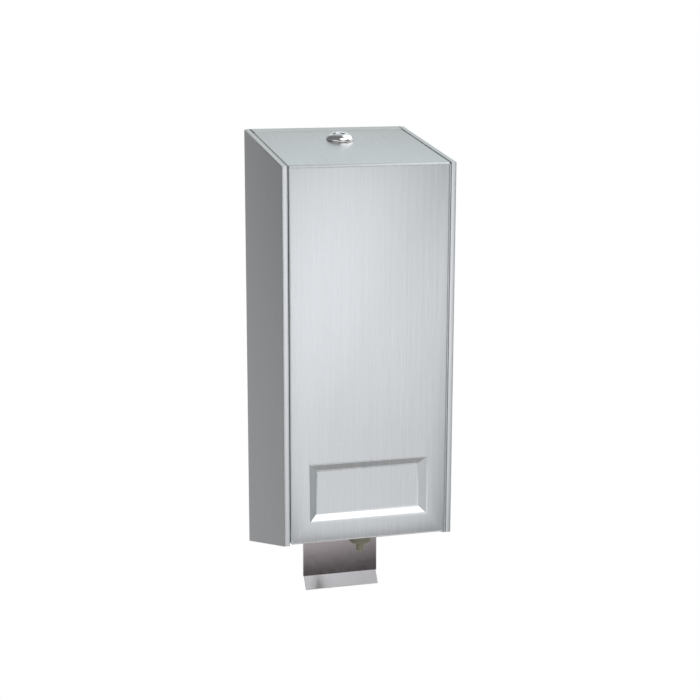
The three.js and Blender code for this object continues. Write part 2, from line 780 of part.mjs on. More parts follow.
const camScrew = [
  [0, -7.2],
  [1.15, -7.2],
  [1.15, -15.1],
  [3.4, -15.1],
  [3.2, -16.3],
  [1.8, -17],
  [0, -17],
];
add("cam_screw", onTop(camScrew, 20), ZINC);

export default group;
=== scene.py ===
# Wall mounted soap dispenser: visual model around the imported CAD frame, in metres.
import json
import math

import bmesh
import bpy
from mathutils import Matrix, Quaternion, Vector


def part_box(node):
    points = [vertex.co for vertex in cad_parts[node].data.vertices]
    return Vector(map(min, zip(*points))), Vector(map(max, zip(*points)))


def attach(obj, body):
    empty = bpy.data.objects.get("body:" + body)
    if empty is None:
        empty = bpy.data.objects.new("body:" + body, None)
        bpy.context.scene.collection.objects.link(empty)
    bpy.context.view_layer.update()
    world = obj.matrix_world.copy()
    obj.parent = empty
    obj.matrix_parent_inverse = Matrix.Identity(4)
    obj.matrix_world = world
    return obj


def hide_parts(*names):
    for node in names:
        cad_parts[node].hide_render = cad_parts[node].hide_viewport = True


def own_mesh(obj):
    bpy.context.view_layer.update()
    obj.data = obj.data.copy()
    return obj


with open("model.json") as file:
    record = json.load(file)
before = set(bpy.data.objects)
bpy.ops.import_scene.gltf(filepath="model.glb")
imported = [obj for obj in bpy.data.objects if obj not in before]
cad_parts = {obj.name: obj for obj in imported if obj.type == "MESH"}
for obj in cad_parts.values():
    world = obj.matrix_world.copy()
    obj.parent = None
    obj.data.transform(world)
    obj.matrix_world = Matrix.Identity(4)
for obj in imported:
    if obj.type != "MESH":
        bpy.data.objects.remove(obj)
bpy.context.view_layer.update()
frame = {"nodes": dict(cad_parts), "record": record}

MM = 0.001
HALF_PI = math.pi / 2

# Sizes that the frame's own boxes give
COVER_LOW, COVER_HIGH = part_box("cover")
PANEL_LOW, PANEL_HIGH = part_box("right_side_panel")
FRONT_Y = PANEL_LOW[1]
HALF_W = PANEL_HIGH[0]
BACK_TOP = PANEL_HIGH[2]
BACK_BOTTOM = PANEL_LOW[2]

# The housing's slopes and sheet, as in the CAD
FRONT_TOP = 135.2 * MM
FRONT_BOTTOM = -113.85 * MM
TOP_SLOPE = math.atan((BACK_TOP - FRONT_TOP) / -FRONT_Y)
TOP_ANGLE = 90 + math.degrees(TOP_SLOPE)
BOTTOM_SLOPE = math.atan((FRONT_BOTTOM - BACK_BOTTOM) / -FRONT_Y)
SHEET = 1.0 * MM

# The cover's bends, and the flanges that return behind them
BEND = 2.0 * MM
EDGE_BEND = 1.1 * MM
RETURN = 8 * MM
PIN_HOLE = 2.1 * MM
CUT_INWARD = 3 * MM
CUT_OUTWARD = 1 * MM
HINGE = Vector((0, -112 * MM, -107.55 * MM))

# The side panels' folded rims and the step behind each
RIM_BEND = 0.9 * MM
RIM_INNER_BEND = 0.5 * MM
RIM_W = 3.5 * MM
RIM_DEEP = 9 * MM
RIM_END = -1.5 * MM
QUARTER_STEPS = 4
RIM_TAIL = 0.6 * MM
STEP_DEEP = 1.7 * MM
STEP_X = 53.45 * MM
STEP_LAP = 0.7 * MM

# The recess pressed into the cover's front
RECESS_X = 40.2 * MM
RECESS_LOW = -99.35 * MM
RECESS_HIGH = -59.65 * MM
RECESS_SLOPE = 5.2 * MM
RECESS_DEEP = 3.3 * MM
RECESS_SOFT = 1.0 * MM

# The lock: its hole in the cover, its dome and the cuts that mark the plug
LOCK_Y = -41 * MM
LOCK_HOLE = 7.9 * MM
DOME_R = 9.6 * MM
DOME_RIM = 0.7 * MM
DOME_RISE = 4.7 * MM
DOME_POWER = 1.85
MARK_R = 5.8 * MM
MARK_LOW = 2 * MM
MARK_SINK = 0.22 * MM

LEVER_FOLD = -165 * MM

# Finish of the meshes: the distance at which points weld, the angle in degrees up to which faces
# count as flat, the angles above which edges stay sharp or get a bevel, the usual bevel in
# millimetres, and the grain's step along a small bend
WELD = 2e-6
FLAT_ANGLE = 1
SMOOTH_ANGLE = 32
SHEET_SMOOTH_ANGLE = 24
BEVEL_ANGLE = 35
BEVEL_WIDTH = 0.15
GRAIN_STEP = 1 * MM


# ---------------------------------------------------------------- materials
class Nodes:
    """A Principled material and short calls that add nodes to it."""

    def __init__(self, name, **sockets):
        self.mat = bpy.data.materials.new(name)
        self.mat.use_nodes = True
        self.tree = self.mat.node_tree
        self.bsdf = self.tree.nodes["Principled BSDF"]
        for key, value in sockets.items():
            self.bsdf.inputs[key.replace("_", " ")].default_value = value

    def add(self, kind, **props):
        node = self.tree.nodes.new(kind)
        for key, value in props.items():
            setattr(node, key, value)
        return node

    def link(self, a, b):
        self.tree.links.new(a, b)

    def coords(self, scale):
        place = self.add("ShaderNodeTexCoord")
        turn = self.add("ShaderNodeMapping")
        turn.inputs["Scale"].default_value = scale
        self.link(place.outputs["Object"], turn.inputs["Vector"])
        return turn.outputs["Vector"]

    def noise(self, scale, detail=3.0, rough=0.55):
        tex = self.add("ShaderNodeTexNoise")
        tex.inputs["Scale"].default_value = 1.0
        tex.inputs["Detail"].default_value = detail
        tex.inputs["Roughness"].default_value = rough
        self.link(self.coords(scale), tex.inputs["Vector"])
        return tex.outputs["Fac"]

    def ramp(self, source, low, high, start=0.3, end=0.7):
        node = self.add("ShaderNodeMapRange", clamp=True)
        node.inputs["From Min"].default_value = start
        node.inputs["From Max"].default_value = end
        node.inputs["To Min"].default_value = low
        node.inputs["To Max"].default_value = high
        self.link(source, node.inputs["Value"])
        return node.outputs["Result"]

    def maths(self, kind, a, b):
        node = self.add("ShaderNodeMath", operation=kind)
        for socket, value in ((node.inputs[0], a), (node.inputs[1], b)):
            if isinstance(value, float):
                socket.default_value = value
            else:
                self.link(value, socket)
        return node.outputs[0]

    def blend(self, *parts):
        """The weighted sum of several patterns, each given with its weight."""
        total = None
        for pattern, weight in parts:
            part = self.maths("MULTIPLY", pattern, weight)
            total = part if total is None else self.maths("ADD", total, part)
        return total

    def mix(self, factor, dark, light):
        node = self.add("ShaderNodeMix", data_type="RGBA")
        node.inputs["A"].default_value = (*dark, 1)
        node.inputs["B"].default_value = (*light, 1)
        self.link(factor, node.inputs["Factor"])
        return node.outputs["Result"]

    def bump(self, height, strength, distance):
        node = self.add("ShaderNodeBump")
        node.inputs["Strength"].default_value = strength
        node.inputs["Distance"].default_value = distance
        self.link(height, node.inputs["Height"])
        return node.outputs["Normal"]

    def into(self, name, source):
        self.link(source, self.bsdf.inputs[name])


def brushed(name, grain, dark, light, rough=(0.27, 0.37), aniso=0.75, bump=0.12, tangent=True):
    """Sheet steel with fine brushed grain; grain holds the lines per metre along X, Y and Z."""
    n = Nodes(name, Metallic=1.0, Anisotropic=aniso)
    fine = n.noise(grain, detail=4.0, rough=0.6)
    wide = n.noise([g * 0.22 for g in grain], detail=3.0)
    cloud = n.noise((9, 9, 6), detail=2.0)
    tone = n.blend((fine, 0.45), (wide, 0.3), (cloud, 0.25))
    n.into("Base Color", n.mix(n.ramp(tone, 0.0, 1.0, 0.36, 0.64), dark, light))
    n.into("Roughness", n.ramp(tone, rough[0], rough[1], 0.36, 0.64))
    n.into("Normal", n.bump(fine, bump, 0.0004))
    if tangent:
        turn = n.add("ShaderNodeTangent", direction_type="UV_MAP", uv_map="grain")
        n.into("Tangent", turn.outputs["Tangent"])
    return n.mat


def plated(name, dark, light, rough):
    """Zinc plated steel: faint spangle and scuffs."""
    n = Nodes(name, Metallic=1.0)
    spangle = n.noise((260, 260, 260), detail=2.0)
    cloud = n.noise((40, 40, 40), detail=3.0)
    tone = n.blend((spangle, 0.5), (cloud, 0.5))
    n.into("Base Color", n.mix(n.ramp(tone, 0.0, 1.0, 0.38, 0.62), dark, light))
    n.into("Roughness", n.ramp(cloud, rough[0], rough[1]))
    n.into("Normal", n.bump(spangle, 0.05, 0.0003))
    return n.mat


def moulded(name, dark, light, rough=(0.34, 0.5), grain=900, **sockets):
    """Moulded plastic or rubber: slight mottling and a fine skin texture."""
    n = Nodes(name, **sockets)
    skin = n.noise((grain, grain, grain), detail=2.0)
    cloud = n.noise((70, 70, 70), detail=3.0)
    n.into("Base Color", n.mix(n.ramp(cloud, 0.0, 1.0), dark, light))
    n.into("Roughness", n.ramp(cloud, rough[0], rough[1]))
    n.into("Normal", n.bump(skin, 0.06, 0.0002))
    return n.mat


def polished(name, dark, light):
    """Chrome: near mirror, with faint polishing marks and finger haze."""
    n = Nodes(name, Metallic=1.0)
    haze = n.noise((150, 150, 150), detail=3.0)
    marks = n.noise((1600, 1600, 300), detail=2.0)
    n.into("Base Color", n.mix(n.ramp(haze, 0.0, 1.0), dark, light))
    n.into("Roughness", n.ramp(haze, 0.05, 0.12))
    n.into("Normal", n.bump(marks, 0.015, 0.0002))
    return n.mat


# Brushed grain in lines per metre along X, Y and Z, and the dark and light tone of each steel
UP_THE_FRONT = (2600, 60, 60)
UP_THE_SIDE = (2600, 2600, 60)
EVEN = (1500, 1500, 900)
STEEL = ((0.60, 0.605, 0.61), (0.74, 0.745, 0.75))
# Painted light: a teal-tinted copy of the cover steel for the top bend, whose tint stands for the soft
# light band along it
LIT_BEND_STEEL = ((0.61, 0.63, 0.635), (0.73, 0.75, 0.755))
# Painted shade: a darker, warmer copy of the steel for the lever plate, which sits in shade under the
# housing
SHADED_LEVER_STEEL = ((0.37, 0.325, 0.33), (0.42, 0.37, 0.375))
# Painted light: a lighter copy of the lever's steel for its bent lip, standing for the light the lip
# catches
LIT_LIP_STEEL = ((0.65, 0.63, 0.635), (0.71, 0.69, 0.695))
# Painted light: a much lighter copy of the steel for the bottom plate, standing for light from below on the
# underside that the lever's lip mirrors
LIT_UNDER_STEEL = ((0.82, 0.82, 0.83), (0.9, 0.9, 0.91))
PLAIN = {"aniso": 0.0, "tangent": False}
SHINY = {"rough": (0.1, 0.14), "bump": 0.02, **PLAIN}

MATERIALS = {
    "cover": brushed("cover_steel", UP_THE_FRONT, *STEEL),
    # The top bend's steel: painted light in its teal tint, and more roughness than the front
    "bend": brushed("lit_bend_steel", UP_THE_FRONT, *LIT_BEND_STEEL, rough=(0.56, 0.64), aniso=0.3),
    "side": brushed("side_steel", UP_THE_SIDE, *STEEL),
    "steel": brushed("plain_steel", UP_THE_SIDE, *STEEL, **PLAIN),
    # The lever's darker steel is painted shade
    "lever": brushed("shaded_lever_steel", EVEN, *SHADED_LEVER_STEEL, **SHINY),
    # The lip's lighter steel is painted light
    "lip": brushed("lit_lip_steel", EVEN, *LIT_LIP_STEEL, **SHINY),
    # The bottom plate's lighter steel is painted light
    "under": brushed("lit_under_steel", UP_THE_SIDE, *LIT_UNDER_STEEL, **PLAIN),
    "zinc": plated("zinc_plate", (0.52, 0.53, 0.55), (0.68, 0.69, 0.70), rough=(0.32, 0.5)),
    "chrome": polished("lock_chrome", (0.95, 0.93, 0.93), (0.98, 0.96, 0.96)),
    # Painted shade: the nozzle's cream plastic is darkened to an olive for the shade it sits in under the
    # housing
    "cream": moulded("shaded_nozzle_plastic", (0.2, 0.185, 0.125), (0.24, 0.225, 0.16)),
    "tank_pe": moulded(
        "tank_plastic", (0.78, 0.79, 0.76), (0.86, 0.87, 0.84), rough=(0.38, 0.5), grain=500,
        Transmission_Weight=0.45, IOR=1.5,
    ),
    "grey_plastic": moulded("grey_plastic", (0.23, 0.25, 0.26), (0.29, 0.31, 0.32)),
    "white_plastic": moulded("white_plastic", (0.72, 0.72, 0.7), (0.8, 0.8, 0.78)),
    "rubber_black": moulded("black_rubber", (0.02, 0.02, 0.022), (0.035, 0.035, 0.037), rough=(0.6, 0.8)),
    # Painted shade: near-black for the faces inside the lock plug's key cuts, where shade falls
    "mark": moulded("shaded_key_cut", (0.03, 0.03, 0.03), (0.05, 0.05, 0.05), rough=(0.4, 0.5)),
    "silicone": moulded("silicone", (0.6, 0.57, 0.5), (0.68, 0.65, 0.58), rough=(0.45, 0.6)),
}


# ------------------------------------------------------------------- meshes
def shade(mesh, smooth):
    """Smooth shading, with the edges above an angle in degrees kept sharp."""
    for polygon in mesh.polygons:
        polygon.use_smooth = True
    mesh.set_sharp_from_angle(angle=math.radians(smooth))


def finish_mesh(name, faces, reference, uvs=None, smooth=SHEET_SMOOTH_ANGLE):
    """A welded mesh from lists of points; reference is a face's index and the way it should face."""
    mesh = bpy.data.meshes.new(name)
    points = []
    index = []
    for face in faces:
        index.append(list(range(len(points), len(points) + len(face))))
        points.extend(face)
    mesh.from_pydata([tuple(p) for p in points], [], index)
    if uvs is not None:
        layer = mesh.uv_layers.new(name="grain")
        flat = [uv for face in uvs for uv in face]
        for loop, uv in zip(layer.data, flat):
            loop.uv = uv
    bm = bmesh.new()
    bm.from_mesh(mesh)
    bm.faces.ensure_lookup_table()
    marked = bm.faces[reference[0]].calc_center_median().copy()
    bmesh.ops.remove_doubles(bm, verts=bm.verts, dist=WELD)
    bmesh.ops.recalc_face_normals(bm, faces=bm.faces)
    probe = min(bm.faces, key=lambda f: (f.calc_center_median() - marked).length)
    if probe.normal.dot(Vector(reference[1])) < 0:
        bmesh.ops.reverse_faces(bm, faces=bm.faces)
    bm.to_mesh(mesh)
    bm.free()
    shade(mesh, smooth)
    return mesh


def make_piece(name, mesh, material, body, node):
    """An object for a mesh that rides on a body in place of a CAD node."""
    obj = bpy.data.objects.new(name, mesh)
    bpy.context.scene.collection.objects.link(obj)
    mesh.materials.clear()
    mesh.materials.append(MATERIALS[material])
    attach(obj, body)
    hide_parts(node)
    return obj


def second_material(obj, material, test):
    """Gives a second material to the faces whose centre passes the test."""
    obj.data.materials.append(MATERIALS[material])
    for polygon in obj.data.polygons:
        if test(polygon.center):
            polygon.material_index = 1


def bevel(obj, width):
    mod = obj.modifiers.new("edges", "BEVEL")
    mod.width = width
    mod.segments = 2
    mod.limit_method = "ANGLE"
    mod.angle_limit = math.radians(BEVEL_ANGLE)
    mod.harden_normals = True


def apply_modifiers(obj):
    graph = bpy.context.evaluated_depsgraph_get()
    graph.update()
    mesh = bpy.data.meshes.new_from_object(obj.evaluated_get(graph))
    old = obj.data
    obj.modifiers.clear()
    obj.data = mesh
    mesh.name = old.name
    bpy.data.meshes.remove(old)


def solidify(obj, thickness):
    """Turns a shell into sheet, whose outer skin is the shell."""
    mod = obj.modifiers.new("sheet", "SOLIDIFY")
    mod.thickness = thickness
    mod.offset = -1
    mod.use_even_offset = True
    mod.use_quality_normals = True
    apply_modifiers(obj)


def cylinder_along_x(radius, x0, x1, y, z, sides=32):
    turns = [2 * math.pi * i / sides for i in range(sides)]
    ring = [(y + radius * math.cos(a), z + radius * math.sin(a)) for a in turns]
    low = [(x0, a, b) for a, b in ring]
    high = [(x1, a, b) for a, b in ring]
    faces = [low[::-1], high]
    for i in range(sides):
        j = (i + 1) % sides
        faces.append([low[i], low[j], high[j], high[i]])
    mesh = finish_mesh("cutter", faces, (1, (1, 0, 0)), smooth=SMOOTH_ANGLE)
    return bpy.data.objects.new("cutter", mesh)


def cut(obj, cutter):
    """Takes the cutter's shape out of the object, and removes the cutter."""
    bpy.context.scene.collection.objects.link(cutter)
    mod = obj.modifiers.new("cut", "BOOLEAN")
    mod.operation = "DIFFERENCE"
    mod.solver = "EXACT"
    mod.object = cutter
    apply_modifiers(obj)
    mesh = cutter.data
    bpy.data.objects.remove(cutter)
    bpy.data.meshes.remove(mesh)


# ------------------------------------------- outlines in the Y-Z plane, and faces along them
def corner(y, inset=0.0):
    """Height of the sloping top at y, or of a line that runs inset below its skin."""
    return FRONT_TOP + (y - FRONT_Y) * math.tan(TOP_SLOPE) - inset / math.cos(TOP_SLOPE)


def arc(center, radius, start, end, steps):
    """Points and normals round a bend in the Y-Z plane, from start to end degrees."""
    rows = []
    for k in range(steps + 1):
        a = math.radians(start + (end - start) * k / steps)
        normal = Vector((math.cos(a), math.sin(a)))
        rows.append((center + normal * radius, normal))
    return rows


def fold_profile(low, end):
    """Outer line of the front-and-top fold from low up the front and back along the top to y = end."""
    reach = BEND * math.tan((HALF_PI - TOP_SLOPE) / 2)
    center = Vector((FRONT_Y + BEND, FRONT_TOP - reach))
    rows = [(Vector((FRONT_Y, low)), Vector((-1, 0)))]
    rows += arc(center, BEND, 180, TOP_ANGLE, steps=8)
    top = Vector((-math.sin(TOP_SLOPE), math.cos(TOP_SLOPE)))
    rows.append((Vector((end, corner(end))), top))
    return rows


def run_length(rows):
    """Distance along a line of rows, at each row."""
    run = [0.0]
    for j in range(1, len(rows)):
        run.append(run[-1] + (rows[j][0] - rows[j - 1][0]).length)
    return run


def join(parts):
    """One list of faces and one of grain coordinates, from several pairs."""
    faces = [face for part in parts for face in part[0]]
    uvs = [uv for part in parts for uv in part[1]]
    return faces, uvs


def strips(half, points, run):
    """Faces across a width of 2 * half along a line of points; run is the grain's distance at each."""
    faces = []
    uvs = []
    for a, b, u, v in zip(points, points[1:], run, run[1:]):
        faces.append([(-half, *a), (half, *a), (half, *b), (-half, *b)])
        uvs.append([(-half, u), (half, u), (half, v), (-half, v)])
    return faces, uvs


def sweep(rows, section, closed=False):
    """Quads of a section of (x, depth) pairs carried along the rows; a closed section gets end caps."""
    run = run_length(rows)
    lines = [[(x, *(p - n * deep)) for p, n in rows] for x, deep in section]
    across = [0.0]
    for (x0, d0), (x1, d1) in zip(section, section[1:] + section[:1]):
        across.append(across[-1] + math.hypot(x1 - x0, d1 - d0))
    faces = []
    uvs = []
    count = len(section) if closed else len(section) - 1
    for k in range(count):
        a = lines[k]
        b = lines[(k + 1) % len(section)]
        u = across[k]
        v = across[k + 1]
        for j in range(len(rows) - 1):
            faces.append([a[j], b[j], b[j + 1], a[j + 1]])
            uvs.append([(u, run[j]), (v, run[j]), (v, run[j + 1]), (u, run[j + 1])])
    if closed:
        for end in (0, -1):
            cap = [line[end] for line in lines]
            faces.append(cap)
            uvs.append([(p[0], p[1]) for p in cap])
    return faces, uvs


def quarter(x, side, radius, rising):
    """Section points round an edge at x; rising goes from the flank up to the face, else down."""
    points = []
    for k in range(QUARTER_STEPS + 1):
        a = HALF_PI * k / QUARTER_STEPS
        if not rising:
            a = HALF_PI - a
        points.append((x - side * radius * (1 - math.cos(a)), radius * (1 - math.sin(a))))
    return points


# -------------------------------------------------------------------- cover
def soft_step(u):
    """Depth of the pressed recess at u inside its outer line, with rounded bends."""
    def area(t):
        if t < 0:
            return 0.0
        if t < RECESS_SLOPE:
            return t * t / 2
        return RECESS_SLOPE * RECESS_SLOPE / 2 + RECESS_SLOPE * (t - RECESS_SLOPE)

    span = area(u + RECESS_SOFT) - area(u - RECESS_SOFT)
    return RECESS_DEEP / RECESS_SLOPE * span / (2 * RECESS_SOFT)


def recess_rings(half, low, high, count=6):
    """Nested rectangles from the front's outline into the recess: half width, low, high and depth."""
    rings = [(half, low, high, 0.0)]
    steps = [-RECESS_SOFT + 2 * RECESS_SOFT * k / count for k in range(count + 1)]
    for u in steps + [RECESS_SLOPE + s for s in steps]:
        rings.append((RECESS_X - u, RECESS_LOW + u, RECESS_HIGH - u, soft_step(u)))
    return rings


def cover_front(half, low, high):
    """The front, as nested rings down to the recess's flat face."""
    outlines = []
    for x, z0, z1, deep in recess_rings(half, low, high):
        y = FRONT_Y + deep
        outlines.append([(-x, y, z0), (x, y, z0), (x, y, z1), (-x, y, z1)])
    faces = []
    for outer, inner in zip(outlines, outlines[1:]):
        for i in range(4):
            j = (i + 1) % 4
            faces.append([outer[i], outer[j], inner[j], inner[i]])
    faces.append(outlines[-1])
    return faces, [[(x, z - low) for x, _, z in face] for face in faces]


def cover_top(half, near, far, start, count=10):
    """The flat top between two points of the outline, as fans from its corners to the lock's hole.

    Each corner faces a quarter of the hole, which starts at the angle named turn, in degrees.
    """
    along = (far - near).normalized()
    middle = Vector((LOCK_Y, corner(LOCK_Y)))
    square = [(-half, *near), (half, *near), (half, *far), (-half, *far)]
    half_way = count // 2
    faces = []
    for q, turn in enumerate((225, 315, 45, 135)):
        rim = []
        for k in range(count + 1):
            a = math.radians(turn + 90 * k / count)
            rim.append((LOCK_HOLE * math.cos(a), *(middle + along * (LOCK_HOLE * math.sin(a)))))
        this = square[q]
        following = square[(q + 1) % 4]
        for k in range(half_way):
            faces.append([this, rim[k + 1], rim[k]])
        faces.append([this, following, rim[half_way]])
        for k in range(half_way, count):
            faces.append([following, rim[k + 1], rim[k]])
    return faces, [[(p[0], start + (Vector(p[1:]) - near).length) for p in face] for face in faces]


def cover_bottom(half, low):
    """The bend under the front and its flange."""
    hub = Vector((FRONT_Y + EDGE_BEND, low + EDGE_BEND))
    points = [p for p, _ in arc(hub, EDGE_BEND, 180, 270, steps=5)]
    points.append(Vector((FRONT_Y + RETURN, low)))
    return strips(half, points, [-GRAIN_STEP * j for j in range(len(points))])


def cover_rear(half, end, start):
    """The bend behind the top and its flange."""
    reach = EDGE_BEND * math.tan((HALF_PI + TOP_SLOPE) / 2)
    hub = Vector((end - EDGE_BEND, corner(end) - reach))
    points = [p for p, _ in arc(hub, EDGE_BEND, TOP_ANGLE, 0, steps=6)]
    run = [start + GRAIN_STEP * j for j in range(len(points))]
    points.append(Vector((end, corner(end) - RETURN)))
    run.append(start + GRAIN_STEP * 2 * (len(run) - 1))
    return strips(half, points, run)


def cover_edge(rows, x, side, steps=5):
    """The quarter round between the fold's outer line and the side flange at x."""
    lines = []
    for k in range(steps + 1):
        a = HALF_PI * k / steps
        off = x - side * EDGE_BEND * (1 - math.sin(a))
        sink = EDGE_BEND * (1 - math.cos(a))
        lines.append([(off, *(p - n * sink)) for p, n in rows])
    run = run_length(rows)
    faces = []
    uvs = []
    for k in range(steps):
        u = side * EDGE_BEND * k / steps
        v = side * EDGE_BEND * (k + 1) / steps
        for j in range(len(rows) - 1):
            faces.append([lines[k][j], lines[k + 1][j], lines[k + 1][j + 1], lines[k][j + 1]])
            uvs.append([(u, run[j]), (v, run[j]), (v, run[j + 1]), (u, run[j + 1])])
    return faces, uvs


def cover_flange(rows, x):
    """The flat side flange at x, whose inner line meets in a mitre below the fold."""
    mitre = Vector((FRONT_Y + RETURN, corner(FRONT_Y + RETURN, RETURN)))
    outer = [p - n * EDGE_BEND for p, n in rows]
    inner = [mitre for _ in rows]
    first, first_normal = rows[0]
    last = rows[-1][0]
    inner[0] = first - first_normal * RETURN
    inner[-1] = Vector((last.x, corner(last.x, RETURN)))
    faces = []
    uvs = []
    for j in range(len(rows) - 1):
        points = [outer[j], outer[j + 1], inner[j + 1]]
        if inner[j + 1] != inner[j]:
            points.append(inner[j])
        faces.append([(x, *p) for p in points])
        uvs.append([tuple(p) for p in points])
    return faces, uvs


def make_cover():
    """The bent cover sheet: front with its recess, top with the lock's hole, flanges and pin holes."""
    half = COVER_HIGH[0]
    flat = half - EDGE_BEND
    low = COVER_LOW[2]
    end = COVER_HIGH[1]
    rows = fold_profile(low + EDGE_BEND, end - EDGE_BEND * (1 + math.sin(TOP_SLOPE)))
    run = run_length(rows)
    front_low = rows[0][0].y
    front_high = rows[1][0].y
    parts = [
        cover_front(flat, front_low, front_high),
        strips(flat, [p for p, _ in rows[1:-1]], run[1:-1]),
        cover_top(flat, rows[-2][0], rows[-1][0], run[-2]),
        cover_bottom(flat, low),
        cover_rear(flat, end, run[-1]),
    ]
    for side in (-1, 1):
        parts.append(cover_edge(rows, side * half, side))
        parts.append(cover_flange(rows, side * half))
    faces, uvs = join(parts)
    mesh = finish_mesh("cover_shell", faces, (0, (0, -1, 0)), uvs)
    obj = make_piece("cover_sheet", mesh, "cover", "cover", "cover")
    solidify(obj, SHEET)
    for side in (-1, 1):
        x0, x1 = sorted((side * (half - CUT_INWARD), side * (half + CUT_OUTWARD)))
        cut(obj, cylinder_along_x(PIN_HOLE, x0, x1, HINGE.y, HINGE.z))
    shade(obj.data, SHEET_SMOOTH_ANGLE)
    bend_end = FRONT_Y + BEND * (1 - math.sin(TOP_SLOPE))
    # The top bend gets the teal-tinted steel, a painted light band on the same sheet as the front
    second_material(obj, "bend", lambda c: c.y < bend_end and c.z > front_high)


# -------------------------------------------------------------- side panels
def make_side(side):
    """A side panel with its folded rim, and the step that the cover closes against."""
    word = "right" if side > 0 else "left"
    outer = side * HALF_W
    inner = side * (HALF_W - RIM_W)
    lean = 1 / math.cos(TOP_SLOPE)
    rows = [
        (Vector((FRONT_Y, FRONT_BOTTOM)), Vector((-1, math.tan(BOTTOM_SLOPE)))),
        (Vector((FRONT_Y, FRONT_TOP)), Vector((-1, lean - math.tan(TOP_SLOPE)))),
        (Vector((RIM_END, corner(RIM_END))), Vector((0, lean))),
    ]
    section = quarter(outer, side, RIM_BEND, True) + quarter(inner, -side, RIM_INNER_BEND, False)
    section.append((inner, STEP_DEEP + RIM_TAIL))
    faces, uvs = sweep(rows, section)
    rim_face = QUARTER_STEPS * (len(rows) - 1)
    skin = [(outer, *(p - n * RIM_BEND)) for p, n in rows]
    skin.append((outer, 0.0, corner(0.0, RIM_BEND)))
    skin.append((outer, 0.0, BACK_BOTTOM))
    faces.append(skin)
    uvs.append([(p[1], p[2]) for p in skin])
    mesh = finish_mesh(word + "_panel_shell", faces, (rim_face, (0, -1, 0)), uvs)
    obj = make_piece(word + "_side_sheet", mesh, "side", "housing", word + "_side_panel")
    solidify(obj, SHEET)
    add_step(obj, rows, side, inner)


def add_step(obj, rows, side, inner):
    """Adds the bar behind a side panel's rim to the panel's mesh."""
    step = [
        (side * STEP_X, STEP_DEEP),
        (side * STEP_X, RIM_DEEP),
        (inner + side * STEP_LAP, RIM_DEEP),
        (inner + side * STEP_LAP, STEP_DEEP),
    ]
    faces, uvs = sweep(rows, step, closed=True)
    bar = finish_mesh("step", faces, (0, (-side, 0, 0)), uvs)
    bm = bmesh.new()
    bm.from_mesh(obj.data)
    bm.from_mesh(bar)
    bm.to_mesh(obj.data)
    bm.free()
    bpy.data.meshes.remove(bar)
    shade(obj.data, SHEET_SMOOTH_ANGLE)


# ------------------------------------------------- pieces that follow a CAD node's own mesh
MADE_ABOVE = {"cover", "left_side_panel", "right_side_panel"}
KEPT_AS_CAD = {"nozzle_seal", "piston_seal"}
# LOOK_OF: the push lever takes the darker steel, painted shade, and the bottom plate the much lighter
# steel, painted light from below
LOOK_OF = {"push_lever": "lever", "bottom_plate": "under"}
BEVEL_OF = {
    "soap_tank": 0.9,
    "tank_top": 0.5,
    "piston_spring": 0,
    "push_lever": 0.5,
    "tank_lid": 0.4,
    "union_nut": 0.3,
    "nozzle": 0.35,
}
BODY_OF = {
    node: body
    for body, nodes in frame["record"]["behaviour"]["bodies"].items()
    for node in nodes
}


def lock_frame(point):
    """The radius and height of a point in the frame of the lock, whose +Z is the top's normal."""
    local = Matrix.Rotation(-TOP_SLOPE, 3, "X") @ (Vector(point) - Vector((0, LOCK_Y, corner(LOCK_Y))))
    return math.hypot(local.x, local.y), local.z


def dome_height(r):
    """Height of the lock's dome above the top at a radius."""
    return DOME_RIM + DOME_RISE * (1 - (r / DOME_R) ** DOME_POWER) ** (1 / DOME_POWER)


def in_a_shaded_key_cut(point):
    """Whether a point of the plug's surface lies in one of the key cuts below its dome, whose faces get
    near-black painted shade.
    """
    r, height = lock_frame(point)
    return r < MARK_R and MARK_LOW < height < dome_height(r) - MARK_SINK


def refine(node, material, width):
    """A welded, bevelled and smooth copy of a CAD node, in a finished material; width is in millimetres."""
    mesh = frame["nodes"][node].data.copy()
    bm = bmesh.new()
    bm.from_mesh(mesh)
    bmesh.ops.remove_doubles(bm, verts=bm.verts, dist=WELD)
    bmesh.ops.dissolve_limit(bm, angle_limit=math.radians(FLAT_ANGLE), verts=bm.verts, edges=bm.edges)
    bm.to_mesh(mesh)
    bm.free()
    shade(mesh, SMOOTH_ANGLE)
    obj = make_piece(node + "_made", mesh, material, BODY_OF[node], node)
    if width:
        bevel(obj, width * MM)
    return obj


def make_from_cad(node, slot):
    """The finished piece for a CAD node; the two seals in KEPT_AS_CAD only get their material."""
    material = LOOK_OF.get(node, slot)
    if node in KEPT_AS_CAD:
        data = frame["nodes"][node].data
        data.materials.clear()
        data.materials.append(MATERIALS[material])
        return
    piece = refine(node, material, BEVEL_OF.get(node, BEVEL_WIDTH))
    if node == "push_lever":
        # The lip below the fold gets the lighter steel, painted light on the same sheet as the darker plate
        second_material(piece, "lip", lambda c: c.z < LEVER_FOLD)
    if node == "lock_plug":
        # The faces in the plug's key cuts get near-black painted shade
        second_material(piece, "mark", in_a_shaded_key_cut)
    if node == "piston_spring":
        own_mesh(piece)


# ------------------------------------------------------- stage, camera, light
CAMERA_PLACE = (-0.2685, -1.0478, 0.2307)
CAMERA_YAW = math.radians(15.32)
CAMERA_PITCH = math.radians(12.54)
CAMERA_ROLL = math.radians(0.12)
CAMERA_LENS = 78.9

